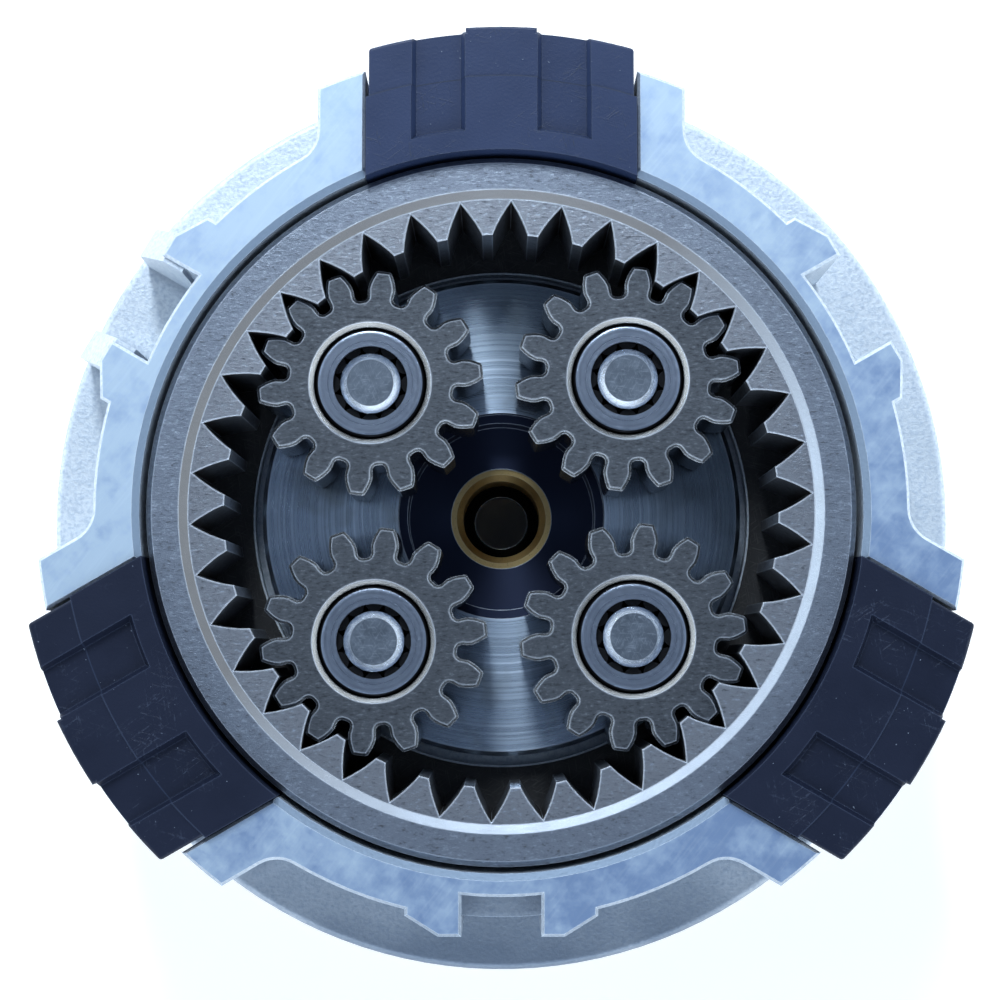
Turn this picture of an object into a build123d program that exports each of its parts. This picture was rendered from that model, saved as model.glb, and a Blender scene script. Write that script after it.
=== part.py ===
"""Planetary reduction unit of a heavy-duty geared starter motor.

A die-cast housing holds an internal ring gear, which leans on three rubber
damper blocks. Four planet gears turn on needle bearings round pins pressed
into a carrier. The carrier's hub runs in the housing's nose and is the output.

Frame: millimetres, origin on the gear axis at the rear end of the nose,
+Z along the axis towards the open gear side.
"""

import os
from math import acos, cos, hypot, pi, radians, sin, tan

from build123d import *

os.makedirs("parts", exist_ok=True)

# ---------------------------------------------------------------- gearing
MODULE = 1.5
PRESSURE_ANGLE = radians(20)
PLANET_TEETH = 14
RING_TEETH = 38
PLANET_COUNT = 4
CENTRE_DISTANCE = 19.2
PLANET_SHIFT = 0.40
BACKLASH = 0.14  # circumferential, all taken from the ring gear's spaces
PLANET_TIP_R = 11.92
PLANET_ROOT_R = 8.74
PLANET_FLANK_R = 9.95  # where the involute ends and the root begins
PLANET_TIP_ROUND = 0.35
PLANET_ROOT_ROUND = 0.55
RING_TIP_R = 28.94
RING_SPACE_ANGLE = 2.9  # degrees from +X to a tooth space of the ring gear
CARRIER_ANGLE = 46.0  # degrees from +X to the first planet pin
FLANK_POINTS = 5

# ------------------------------------------------------ heights along the axis
NOSE_LENGTH = 16.0
FLANGE_FACE_Z = NOSE_LENGTH + 5.5
FLOOR_Z = NOSE_LENGTH + 4.0
LEDGE_Z = FLOOR_Z + 2.0
CARRIER_BACK_Z = FLOOR_Z + 1.0
CARRIER_FACE_Z = CARRIER_BACK_Z + 5.0
PLANET_BACK_Z = CARRIER_FACE_Z + 0.6
PLANET_WIDTH = 9.6
PLANET_FACE_Z = PLANET_BACK_Z + PLANET_WIDTH
TOOTH_FACE_Z = PLANET_FACE_Z + 0.8
RIM_FACE_Z = TOOTH_FACE_Z + 0.9
COLLAR_FACE_Z = RIM_FACE_Z + 0.9
BLOCK_FACE_Z = COLLAR_FACE_Z + 0.8
RING_BACK_Z = LEDGE_Z + 0.6
SINK = 0.5  # how far a feature starts inside the one it stands on
NEAR = 0.01  # how closely an edge has to match a radius to be picked

# ------------------------------------------------------------------ housing
FLANGE_R = 49.8
FLANGE_ROUND = 0.8
COLLAR_R = 42.3
COLLAR_CHAMFER = 0.7
COLLAR_EDGE_BREAK = 0.3
COLLAR_BORE_R = 37.6
REGISTER_BORE_R = 37.08
REGISTER_TOP_Z = 28.0
CAVITY_R = 27.4
NOSE_R = 21.0
NOSE_CHAMFER = 0.5
RELIEF_INNER_R = 24.0
RELIEF_OUTER_R = 42.0
RELIEF_DEPTH = 1.2
RELIEF_ROUND = 0.6
LUG_R = 48.2
LUG_INNER = 14.3  # from a block's centre line to its lugs
LUG_OUTER = 19.3
LUG_ROOT_ROUND = 3.5
BLOCK_ANGLES = (90, 210, 330)
NOTCH_ANGLES = (30, 150, 270)
NOTCH_HALF_WIDTHS = (5.2, 5.2, 4.1)
NOTCH_R = 39.9
HORN_R = 43.9
HORN_WIDTH = 2.4
HORN_SLOPE = 3.4
NOTCH_LEDGE_R = 42.2
NOTCH_LEDGE_DROP = 2.5
RIB_END_R = 49.2
RIB_WIDTH = 3.4
RIB_END_HEIGHT = 7.5
RIB_DROP = 0.6  # of a rib's crest below the collar's face, and of its end's slope
BUSH_BORE_R = 15.0
SEAL_BORE_R = 18.0
SEAL_BORE_DEPTH = 7.0

# ------------------------------------------------------------------ ring gear
RING_R = 37.0
RING_CHAMFER = 0.6
RIM_TOP_R = 33.6  # the bevel runs from here on the rim's face
RIM_FOOT_R = 32.7  # to here on the tooth faces
DOG_R = 44.0
DOG_HALF_WIDTH = 5.0
DOG_TOP_Z = 32.0
RING_EDGE_BREAK = 0.1

# -------------------------------------------------------------- damper blocks
BLOCK_INNER_R = 37.45
BLOCK_R = 50.15
BLOCK_LAND_R = 50.6
BLOCK_HALF_WIDTH = 14.2
BLOCK_PARTING_R = 45.3
BLOCK_NARROWING = 0.3
POCKET_NEAR = 3.75
POCKET_FAR = 9.45
POCKET_END_R = 39.6
POCKET_DEPTH = 1.1
POCKET_SLOPE = 0.5
POCKET_TAPER = -24  # degrees: the pockets widen towards the front
PARTING_STEP = 0.15
BLOCK_CORNER_ROUND = 0.4
BLOCK_EDGE_ROUND = 0.3
SLOT_PLAY = 0.12

# -------------------------------------------------------------------- carrier
CARRIER_R = 26.2
CARRIER_CHAMFER = 0.5
HUB_R = 12.5
HUB_BACK_Z = 0.6
RECESS_R = 11.3
RECESS_STEP_Z = CARRIER_FACE_Z - 1.4
RECESS_FLOOR_R = 10.3
RECESS_FLOOR_Z = 20.4
PILOT_BUSH_R = 5.6
PILOT_R = 4.3
PILOT_BUSH_BACK_Z = 12.4
PILOT_BUSH_FRONT_Z = 20.2
PILOT_CHAMFER = 0.7
SPLINE_MINOR_R = 5.6
SPLINE_MAJOR_R = 6.7
SPLINE_TEETH = 12
SPLINE_TOOTH_WIDTH = 1.45
SPLINE_END_Z = 11.0
VENT_R = 3.0
SNAP_GROOVE_R = 11.7
SNAP_GROOVE_Z = 5.2
SNAP_GROOVE_WIDTH = 1.2
SNAP_RING_R = 14.4
SNAP_RING_THICKNESS = 1.1
SNAP_RING_GAP = 6.0
SNAP_RING_PLAY = 0.05

# ------------------------------------------------- bush, seal and thrust washers
BUSH_WALL_END_Z = FLOOR_Z - 0.1
NOSE_BUSH_BACK_Z = SEAL_BORE_DEPTH
NOSE_BUSH_CHAMFER = 0.5
CARRIER_WASHER_THICKNESS = 0.9
CARRIER_WASHER_INNER_R = 15.6
CARRIER_WASHER_R = 24.0
HUB_WASHER_R = 16.6
HUB_WASHER_THICKNESS = 0.5
PLANET_WASHER_R = 7.8
PLANET_WASHER_THICKNESS = 0.5
SEAT_WASHER_INNER_R = 27.6
SEAT_WASHER_R = 36.8
SEAL_BACK_Z = 0.8
SEAL_HEIGHT = 4.0
SEAL_CASE = 1.2
SEAL_LIP_PLAY = 0.03
SEAL_STEM_INNER = 0.6  # these three stand off the hub
SEAL_STEM_OUTER = 1.5
SEAL_BEAK = 0.7
SEAL_STEM_DROP = 0.6  # these five lie below the seal's top
SEAL_BEAK_DROP = 0.4
SEAL_LIP_DROP = 1.3
SEAL_HEEL_DROP = 2.1
GARTER_DROP = 1.4
GARTER_R = 0.5

# ------------------------------------------------------ pins and needle bearings
PIN_R = 3.175
PIN_CHAMFER = 0.7
GEAR_BORE_CHAMFER = 0.5
GEAR_EDGE_BREAK = 0.3
CUP_R = 5.95
CUP_WALL = 0.75
CUP_LIP_R = 3.92
CUP_CORNER_ROUND = 0.65
CUP_INSET = 0.3
NEEDLE_R = 1.0
NEEDLE_COUNT = 12
NEEDLE_LENGTH = 7.3
NEEDLE_CLEARANCE = 0.02
RUNNING_CLEARANCE = 0.04


def involute(angle):
    """The involute function of a pressure angle in radians."""
    return tan(angle) - angle


def polar(radius, angle):
    """A point in the XY plane, the angle in radians."""
    return (radius * cos(angle), radius * sin(angle))


# -------------------------------------------------- gear tooth angles by radius
PLANET_BASE_R = MODULE * PLANET_TEETH / 2 * cos(PRESSURE_ANGLE)
RING_BASE_R = MODULE * RING_TEETH / 2 * cos(PRESSURE_ANGLE)
WORKING_ANGLE = acos((RING_BASE_R - PLANET_BASE_R) / CENTRE_DISTANCE)
RING_SHIFT = PLANET_SHIFT + (
    (involute(WORKING_ANGLE) - involute(PRESSURE_ANGLE))
    * (RING_TEETH - PLANET_TEETH)
    / (2 * tan(PRESSURE_ANGLE))
)
RING_PITCH_R = CENTRE_DISTANCE * RING_TEETH / (RING_TEETH - PLANET_TEETH)


def planet_half_tooth(radius):
    """Half the angle that a planet tooth covers at a radius."""
    at_pitch = (pi / 2 + 2 * PLANET_SHIFT * tan(PRESSURE_ANGLE)) / PLANET_TEETH
    local = acos(PLANET_BASE_R / radius)
    return at_pitch + involute(PRESSURE_ANGLE) - involute(local)


def ring_half_space(radius):
    """Half the angle that a ring gear tooth space covers at a radius."""
    at_pitch = (pi / 2 + 2 * RING_SHIFT * tan(PRESSURE_ANGLE)) / RING_TEETH
    local = acos(RING_BASE_R / radius)
    return at_pitch + involute(PRESSURE_ANGLE) - involute(local) + BACKLASH / 2 / RING_PITCH_R


def apex_radius():
    """The radius at which the two flanks of a ring gear space meet."""
    low, high = RING_TIP_R, RING_TIP_R + 3 * MODULE
    while high - low > 1e-6:
        middle = (low + high) / 2
        if ring_half_space(middle) > 0:
            low = middle
        else:
            high = middle
    return low


RING_APEX_R = apex_radius()
PLANET_PITCH = 2 * pi / PLANET_TEETH
RING_PITCH = 2 * pi / RING_TEETH


def flank_radii(start, end):
    """Evenly spaced radii along one flank."""
    step = (end - start) / (FLANK_POINTS - 1)
    return [start + step * i for i in range(FLANK_POINTS)]


def planet_outline(phase):
    """Draws one planet gear's closed outline, phase in radians, in a BuildLine."""
    rising = flank_radii(PLANET_FLANK_R, PLANET_TIP_R)
    falling = rising[::-1]
    foot = planet_half_tooth(PLANET_FLANK_R)
    tip = planet_half_tooth(PLANET_TIP_R)
    for tooth in range(PLANET_TEETH):
        at = phase + tooth * PLANET_PITCH
        after = at + PLANET_PITCH
        Line(polar(PLANET_ROOT_R, at - foot), polar(PLANET_FLANK_R, at - foot))
        Spline([polar(r, at - planet_half_tooth(r)) for r in rising])
        ThreePointArc(
            polar(PLANET_TIP_R, at - tip), polar(PLANET_TIP_R, at), polar(PLANET_TIP_R, at + tip)
        )
        Spline([polar(r, at + planet_half_tooth(r)) for r in falling])
        Line(polar(PLANET_FLANK_R, at + foot), polar(PLANET_ROOT_R, at + foot))
        ThreePointArc(
            polar(PLANET_ROOT_R, at + foot),
            polar(PLANET_ROOT_R, at + PLANET_PITCH / 2),
            polar(PLANET_ROOT_R, after - foot),
        )


def ring_outline(phase):
    """Draws the ring gear's inner closed outline, phase in radians, in a BuildLine."""
    rising = flank_radii(RING_TIP_R, RING_APEX_R)
    falling = rising[::-1]
    mouth = ring_half_space(RING_TIP_R)
    for space in range(RING_TEETH):
        at = phase + space * RING_PITCH
        after = at + RING_PITCH
        Spline([polar(r, at - ring_half_space(r)) for r in rising])
        Spline([polar(r, at + ring_half_space(r)) for r in falling])
        ThreePointArc(
            polar(RING_TIP_R, at + mouth),
            polar(RING_TIP_R, at + RING_PITCH / 2),
            polar(RING_TIP_R, after - mouth),
        )


def planet_angle(index):
    """The angle in degrees from +X to a planet's pin."""
    return CARRIER_ANGLE + index * 360 / PLANET_COUNT


def planet_phase(index):
    """The direction in radians of a planet tooth that is in mesh with the ring gear."""
    pin = radians(planet_angle(index))
    space = radians(RING_SPACE_ANGLE)
    return pin + (space - pin) * RING_TEETH / PLANET_TEETH


def planet_plane(index, height):
    """A plane across a planet's pin, its axes along the gear set's X and Y."""
    x, y = polar(CENTRE_DISTANCE, radians(planet_angle(index)))
    return Plane(origin=(x, y, height))


def upright_plane(angle, offset=0):
    """A plane with x pointing out along an angle in degrees and y along +Z,
    shifted sideways by offset."""
    outward = Vector(1, 0, 0).rotate(Axis.Z, angle)
    sideways = Vector(0, 1, 0).rotate(Axis.Z, angle)
    return Plane(origin=sideways * offset, x_dir=outward, z_dir=sideways * -1)


def corners_at(sketch, radius):
    """A sketch's corners that lie at a radius from its centre."""
    return sketch.vertices().filter_by(lambda corner: abs(corner.center().length - radius) < NEAR)


def flat_edges(builder, height):
    """A part's edges that lie flat at a height."""
    return builder.edges().filter_by(
        lambda edge: abs(edge.bounding_box().min.Z - height) < NEAR
        and abs(edge.bounding_box().max.Z - height) < NEAR
    )


def is_circle(edge, radius):
    """Whether an edge is part of a circle of a radius."""
    return edge.geom_type == GeomType.CIRCLE and abs(edge.radius - radius) < NEAR


def finish(builder, name):
    """Labels a finished piece and writes its file."""
    builder.part.label = name
    export_step(builder.part, f"parts/{name}.step")


# =================================================================== housing
with BuildPart() as housing:
    # nose and flange
    with BuildSketch(Plane.XY):
        Circle(NOSE_R)
    extrude(amount=NOSE_LENGTH)
    chamfer(housing.faces().sort_by(Axis.Z)[0].edges(), NOSE_CHAMFER)
    with BuildSketch(Plane.XY.offset(NOSE_LENGTH)):
        Circle(FLANGE_R)
    extrude(amount=FLANGE_FACE_Z - NOSE_LENGTH)
    fillet(housing.edges().filter_by(lambda edge: is_circle(edge, FLANGE_R)), FLANGE_ROUND)

    # shallow relief in the flange's back, round the nose
    with BuildSketch(Plane.XY.offset(NOSE_LENGTH)):
        Circle(RELIEF_OUTER_R)
        Circle(RELIEF_INNER_R, mode=Mode.SUBTRACT)
    extrude(amount=RELIEF_DEPTH, mode=Mode.SUBTRACT)
    fillet(flat_edges(housing, NOSE_LENGTH + RELIEF_DEPTH), RELIEF_ROUND)

    # collar, with a lug on each side of each damper block
    with BuildSketch(Plane.XY.offset(FLANGE_FACE_Z - SINK)) as collar_plan:
        with PolarLocations(LUG_R / 2, len(BLOCK_ANGLES), start_angle=BLOCK_ANGLES[0]):
            Rectangle(LUG_R + 2, 2 * LUG_OUTER)
        Circle(LUG_R, mode=Mode.INTERSECT)
        Circle(COLLAR_R)
        fillet(corners_at(collar_plan, COLLAR_R), LUG_ROOT_ROUND)
        # horns beside the notches
        for notch_angle, half_width in zip(NOTCH_ANGLES, NOTCH_HALF_WIDTHS):
            for side in (-1, 1):
                inner = side * half_width
                outer = side * (half_width + HORN_WIDTH)
                foot = side * (half_width + HORN_WIDTH + HORN_SLOPE)
                with Locations(Location((0, 0, 0), (0, 0, notch_angle))):
                    Polygon(
                        (NOTCH_R - 2, inner),
                        (HORN_R, inner),
                        (HORN_R, outer),
                        (COLLAR_R - SINK, foot),
                        (NOTCH_R - 2, foot),
                        align=None,
                    )
    extrude(amount=COLLAR_FACE_Z - FLANGE_FACE_Z + SINK)

    # notches, the last with a ledge left in it
    for notch_angle, half_width in zip(NOTCH_ANGLES, NOTCH_HALF_WIDTHS):
        with BuildSketch(Plane.XY.offset(FLANGE_FACE_Z)):
            with Locations(Location((0, 0, 0), (0, 0, notch_angle))):
                with Locations((HORN_R, 0)):
                    Rectangle(2 * (HORN_R - NOTCH_R) + 2, 2 * half_width)
            Circle(NOTCH_R, mode=Mode.SUBTRACT)
        extrude(amount=BLOCK_FACE_Z, mode=Mode.SUBTRACT)
    with BuildSketch(Plane.XY.offset(FLANGE_FACE_Z)):
        Circle(NOTCH_LEDGE_R)
        Circle(NOTCH_R - 1, mode=Mode.SUBTRACT)
        with Locations(Location((0, 0, 0), (0, 0, NOTCH_ANGLES[-1]))):
            with Locations((NOTCH_R, 0)):
                Rectangle(8, 2 * NOTCH_HALF_WIDTHS[-1], mode=Mode.INTERSECT)
    extrude(amount=COLLAR_FACE_Z - NOTCH_LEDGE_DROP - FLANGE_FACE_Z)

    # cast ribs that run out from the horns of one notch to the flange's rim
    for side in (-1, 1):
        rib_middle = side * (NOTCH_HALF_WIDTHS[1] + HORN_WIDTH / 2)
        with BuildSketch(upright_plane(NOTCH_ANGLES[1], rib_middle)):
            Polygon(
                (COLLAR_R - 1, FLANGE_FACE_Z - SINK),
                (COLLAR_R - 1, COLLAR_FACE_Z - RIB_DROP),
                (HORN_R - RIB_DROP / 2, COLLAR_FACE_Z - RIB_DROP),
                (RIB_END_R - 1, FLANGE_FACE_Z + RIB_END_HEIGHT),
                (RIB_END_R - RIB_DROP, FLANGE_FACE_Z - SINK),
                align=None,
            )
        extrude(amount=RIB_WIDTH / 2, both=True)

    # bores: collar, ring gear's register, carrier's cavity, bush and seal
    with BuildSketch(Plane.XY.offset(REGISTER_TOP_Z)):
        Circle(COLLAR_BORE_R)
    extrude(amount=BLOCK_FACE_Z, mode=Mode.SUBTRACT)
    with BuildSketch(Plane.XY.offset(LEDGE_Z)):
        Circle(REGISTER_BORE_R)
    extrude(amount=REGISTER_TOP_Z - LEDGE_Z, mode=Mode.SUBTRACT)
    with BuildSketch(Plane.XY.offset(FLOOR_Z)):
        Circle(CAVITY_R)
    extrude(amount=LEDGE_Z - FLOOR_Z, mode=Mode.SUBTRACT)
    with BuildSketch(Plane.XY.offset(SEAL_BORE_DEPTH)):
        Circle(BUSH_BORE_R)
    extrude(amount=FLOOR_Z - SEAL_BORE_DEPTH, mode=Mode.SUBTRACT)
    with BuildSketch(Plane.XY):
        Circle(SEAL_BORE_R)
    extrude(amount=SEAL_BORE_DEPTH, mode=Mode.SUBTRACT)
    mouth = flat_edges(housing, COLLAR_FACE_Z)
    chamfer(mouth.filter_by(lambda edge: is_circle(edge, COLLAR_BORE_R)), COLLAR_CHAMFER)

    # pockets for the damper blocks, open outwards and to the front
    with BuildSketch(Plane.XY.offset(FLANGE_FACE_Z)):
        with PolarLocations(LUG_R, len(BLOCK_ANGLES), start_angle=BLOCK_ANGLES[0]):
            Rectangle(LUG_R, 2 * LUG_INNER)
        Circle(REGISTER_BORE_R, mode=Mode.SUBTRACT)
    extrude(amount=BLOCK_FACE_Z, mode=Mode.SUBTRACT)
    mouth_r = COLLAR_BORE_R + COLLAR_CHAMFER
    collar_edges = flat_edges(housing, COLLAR_FACE_Z)
    chamfer(collar_edges.filter_by(lambda edge: not is_circle(edge, mouth_r)), COLLAR_EDGE_BREAK)
finish(housing, "housing")


# ================================================================== ring gear
with BuildPart() as ring_gear:
    with BuildSketch(Plane.XY.offset(RING_BACK_Z)):
        Circle(RING_R)
        with PolarLocations(DOG_R / 2, len(BLOCK_ANGLES), start_angle=BLOCK_ANGLES[0]):
            Rectangle(DOG_R, 2 * DOG_HALF_WIDTH)
    extrude(amount=DOG_TOP_Z - RING_BACK_Z)
    with BuildSketch(Plane.XY.offset(DOG_TOP_Z)):
        Circle(RING_R)
    extrude(amount=RIM_FACE_Z - DOG_TOP_Z)
    chamfer(ring_gear.faces().sort_by(Axis.Z)[-1].edges(), RING_CHAMFER)
    # the teeth's faces lie below the rim's, with a bevel between them
    with BuildSketch(Plane.XY.offset(TOOTH_FACE_Z)):
        Circle(RIM_FOOT_R)
    with BuildSketch(Plane.XY.offset(RIM_FACE_Z)):
        Circle(RIM_TOP_R)
    loft(mode=Mode.SUBTRACT)
    with BuildSketch(Plane.XY.offset(RING_BACK_Z)):
        with BuildLine():
            ring_outline(radians(RING_SPACE_ANGLE))
        make_face()
    extrude(amount=RIM_FACE_Z, mode=Mode.SUBTRACT)
    tooth_edges = flat_edges(ring_gear, TOOTH_FACE_Z)
    tooth_edges = tooth_edges.filter_by(lambda edge: not is_circle(edge, RIM_FOOT_R))
    chamfer(tooth_edges, RING_EDGE_BREAK)
finish(ring_gear, "ring_gear")


# ============================================================== damper blocks
def damper_block(angle):
    """One rubber block, on the radial direction at an angle in degrees."""
    outer_half_width = BLOCK_HALF_WIDTH - BLOCK_NARROWING
    turn = Location((0, 0, 0), (0, 0, angle))
    across = Vector(0, 1, 0).rotate(Axis.Z, angle)

    def sideways(edge):
        return edge.center().dot(across)

    with BuildPart() as block:
        # body up to the parting line, then the slightly narrower and lower outer part
        with BuildSketch(Plane.XY.offset(FLANGE_FACE_Z)):
            with Locations(turn):
                Rectangle(BLOCK_LAND_R, 2 * BLOCK_HALF_WIDTH, align=(Align.MIN, Align.CENTER))
            Circle(BLOCK_PARTING_R, mode=Mode.INTERSECT)
            Circle(BLOCK_INNER_R, mode=Mode.SUBTRACT)
        extrude(amount=BLOCK_FACE_Z - FLANGE_FACE_Z)
        with BuildSketch(Plane.XY.offset(FLANGE_FACE_Z)):
            with Locations(turn):
                Rectangle(BLOCK_LAND_R, 2 * outer_half_width, align=(Align.MIN, Align.CENTER))
            Circle(BLOCK_R, mode=Mode.INTERSECT)
            Circle(BLOCK_PARTING_R - SINK, mode=Mode.SUBTRACT)
        extrude(amount=BLOCK_FACE_Z - PARTING_STEP - FLANGE_FACE_Z)
        # proud land down the middle of the outer face
        with BuildSketch(Plane.XY.offset(FLANGE_FACE_Z)):
            with Locations(turn):
                Rectangle(BLOCK_LAND_R + 1, 2 * POCKET_NEAR, align=(Align.MIN, Align.CENTER))
            Circle(BLOCK_LAND_R, mode=Mode.INTERSECT)
            Circle(BLOCK_R - 1, mode=Mode.SUBTRACT)
        extrude(amount=BLOCK_FACE_Z - PARTING_STEP - FLANGE_FACE_Z)
        # two shallow pockets in the front face, open outwards
        with BuildSketch(Plane.XY.offset(BLOCK_FACE_Z - POCKET_DEPTH)):
            pocket_width = POCKET_FAR - POCKET_NEAR - 2 * POCKET_SLOPE
            with Locations(turn):
                with Locations((BLOCK_R, (POCKET_NEAR + POCKET_FAR) / 2)):
                    Rectangle(2 * BLOCK_R, pocket_width, align=(Align.CENTER, Align.CENTER))
                with Locations((BLOCK_R, -(POCKET_NEAR + POCKET_FAR) / 2)):
                    Rectangle(2 * BLOCK_R, pocket_width, align=(Align.CENTER, Align.CENTER))
            Circle(BLOCK_LAND_R + 5, mode=Mode.INTERSECT)
            Circle(POCKET_END_R + POCKET_SLOPE, mode=Mode.SUBTRACT)
        extrude(amount=POCKET_DEPTH + SINK, taper=POCKET_TAPER, mode=Mode.SUBTRACT)
        # slot for the ring gear's dog, open inwards and to the back
        with BuildSketch(Plane.XY.offset(FLANGE_FACE_Z)):
            with Locations(turn):
                Rectangle(
                    DOG_R + SLOT_PLAY,
                    2 * (DOG_HALF_WIDTH + SLOT_PLAY),
                    align=(Align.MIN, Align.CENTER),
                )
        extrude(amount=DOG_TOP_Z + SLOT_PLAY - FLANGE_FACE_Z, mode=Mode.SUBTRACT)
        # rounded outer corners and outer front edges
        def outermost(edge):
            return hypot(edge.center().X, edge.center().Y) > BLOCK_PARTING_R + 1

        corners = block.edges().filter_by(Axis.Z).filter_by(outermost)
        corners = corners.filter_by(lambda edge: abs(sideways(edge)) > BLOCK_HALF_WIDTH - 1)
        fillet(corners, BLOCK_CORNER_ROUND)
        front = flat_edges(block, BLOCK_FACE_Z - PARTING_STEP)
        front = front.filter_by(
            lambda edge: hypot(edge.center().X, edge.center().Y) > BLOCK_R - 1
            or abs(abs(sideways(edge)) - outer_half_width) < NEAR
        )
        fillet(front, BLOCK_EDGE_ROUND)
    return block


for number, block_angle in enumerate(BLOCK_ANGLES, start=1):
    finish(damper_block(block_angle), f"damper_block_{number}")


# =================================================================== carrier
with BuildPart() as carrier:
    # disc and hub
    with BuildSketch(Plane.XY.offset(HUB_BACK_Z)):
        Circle(HUB_R)
    extrude(amount=CARRIER_BACK_Z - HUB_BACK_Z)
    chamfer(carrier.faces().sort_by(Axis.Z)[0].edges(), CARRIER_CHAMFER)
    with BuildSketch(Plane.XY.offset(CARRIER_BACK_Z)):
        Circle(CARRIER_R)
    extrude(amount=CARRIER_FACE_Z - CARRIER_BACK_Z)
    chamfer(carrier.edges().filter_by(lambda edge: is_circle(edge, CARRIER_R)), CARRIER_CHAMFER)
    # stepped recess round the sun gear's end, then the pilot bush's bore
    with BuildSketch(Plane.XY.offset(RECESS_STEP_Z)):
        Circle(RECESS_R)
    extrude(amount=CARRIER_FACE_Z, mode=Mode.SUBTRACT)
    with BuildSketch(Plane.XY.offset(RECESS_FLOOR_Z)):
        Circle(RECESS_FLOOR_R)
    extrude(amount=CARRIER_FACE_Z, mode=Mode.SUBTRACT)
    with BuildSketch(Plane.XY.offset(PILOT_BUSH_BACK_Z)):
        Circle(PILOT_BUSH_R)
    extrude(amount=CARRIER_FACE_Z, mode=Mode.SUBTRACT)
    with BuildSketch(Plane.XY):
        Circle(VENT_R)
    extrude(amount=CARRIER_FACE_Z, mode=Mode.SUBTRACT)
    # splined output bore, open to the back
    with BuildSketch(Plane.XY):
        Circle(SPLINE_MINOR_R)
        with PolarLocations(SPLINE_MINOR_R, SPLINE_TEETH):
            Rectangle(2 * (SPLINE_MAJOR_R - SPLINE_MINOR_R), SPLINE_TOOTH_WIDTH)
    extrude(amount=SPLINE_END_Z, mode=Mode.SUBTRACT)
    # bores for the planet pins
    with BuildSketch(Plane.XY.offset(CARRIER_BACK_Z)):
        with PolarLocations(CENTRE_DISTANCE, PLANET_COUNT, start_angle=CARRIER_ANGLE):
            Circle(PIN_R)
    extrude(amount=CARRIER_FACE_Z, mode=Mode.SUBTRACT)
    # groove for the snap ring
    with BuildSketch(Plane.XY.offset(SNAP_GROOVE_Z)):
        Circle(HUB_R + 1)
        Circle(SNAP_GROOVE_R, mode=Mode.SUBTRACT)
    extrude(amount=SNAP_GROOVE_WIDTH, mode=Mode.SUBTRACT)
finish(carrier, "carrier")


# ============================================== turned rings, bushes and washers
def washer(back, thickness, inner_radius, outer_radius, plane=Plane.XY):
    """A flat ring, its back face at a height above a plane."""
    with BuildPart() as ring:
        with BuildSketch(plane.offset(back)):
            Circle(outer_radius)
            Circle(inner_radius, mode=Mode.SUBTRACT)
        extrude(amount=thickness)
    return ring


def bush(back, front, inner_radius, outer_radius, mouth_chamfer):
    """A plain bush on the gear axis, chamfered inside at its front end."""
    ring = washer(back, front - back, inner_radius, outer_radius)
    with ring:
        circles = ring.edges().filter_by(GeomType.CIRCLE)
        bore_edges = circles.filter_by(lambda edge: edge.radius < inner_radius + NEAR)
        chamfer(bore_edges.group_by(Axis.Z)[-1], mouth_chamfer)
    return ring


seat_washer = washer(LEDGE_Z, RING_BACK_Z - LEDGE_Z, SEAT_WASHER_INNER_R, SEAT_WASHER_R)
finish(seat_washer, "ring_seat_washer")
carrier_washer = washer(
    FLOOR_Z, CARRIER_WASHER_THICKNESS, CARRIER_WASHER_INNER_R, CARRIER_WASHER_R
)
finish(carrier_washer, "carrier_thrust_washer")
hub_washer = washer(
    SNAP_GROOVE_Z + SNAP_RING_THICKNESS + SNAP_RING_PLAY,
    HUB_WASHER_THICKNESS,
    HUB_R + RUNNING_CLEARANCE,
    HUB_WASHER_R,
)
finish(hub_washer, "hub_thrust_washer")
nose_bush = bush(
    NOSE_BUSH_BACK_Z,
    BUSH_WALL_END_Z,
    HUB_R + RUNNING_CLEARANCE,
    BUSH_BORE_R,
    NOSE_BUSH_CHAMFER,
)
finish(nose_bush, "nose_bush")
pilot_bush = bush(PILOT_BUSH_BACK_Z, PILOT_BUSH_FRONT_Z, PILOT_R, PILOT_BUSH_R, PILOT_CHAMFER)
finish(pilot_bush, "pilot_bush")

with BuildPart() as snap_ring:
    with BuildSketch(Plane.XY.offset(SNAP_GROOVE_Z + SNAP_RING_PLAY)):
        Circle(SNAP_RING_R)
        Circle(SNAP_GROOVE_R, mode=Mode.SUBTRACT)
        with Locations((SNAP_RING_R, 0)):
            Rectangle(2 * SNAP_RING_R - SNAP_GROOVE_R, SNAP_RING_GAP, mode=Mode.SUBTRACT)
    extrude(amount=SNAP_RING_THICKNESS)
finish(snap_ring, "hub_snap_ring")

# lip seal: a case with a rubber lip that a garter spring presses on the hub
SEAL_TOP_Z = SEAL_BACK_Z + SEAL_HEIGHT
with BuildPart() as output_seal:
    with BuildSketch(Plane.XZ):
        Polygon(
            (SEAL_BORE_R, SEAL_BACK_Z),
            (SEAL_BORE_R, SEAL_TOP_Z),
            (SEAL_BORE_R - SEAL_CASE, SEAL_TOP_Z),
            (SEAL_BORE_R - SEAL_CASE, SEAL_BACK_Z + SEAL_CASE),
            (HUB_R + SEAL_STEM_OUTER, SEAL_BACK_Z + SEAL_CASE),
            (HUB_R + SEAL_STEM_OUTER, SEAL_TOP_Z - SEAL_STEM_DROP),
            (HUB_R + SEAL_BEAK, SEAL_TOP_Z - SEAL_BEAK_DROP),
            (HUB_R + SEAL_LIP_PLAY, SEAL_TOP_Z - SEAL_LIP_DROP),
            (HUB_R + SEAL_STEM_INNER, SEAL_TOP_Z - SEAL_HEEL_DROP),
            (HUB_R + SEAL_STEM_INNER, SEAL_BACK_Z),
            align=None,
        )
    revolve(axis=Axis.Z)
finish(output_seal, "output_seal")

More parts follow.
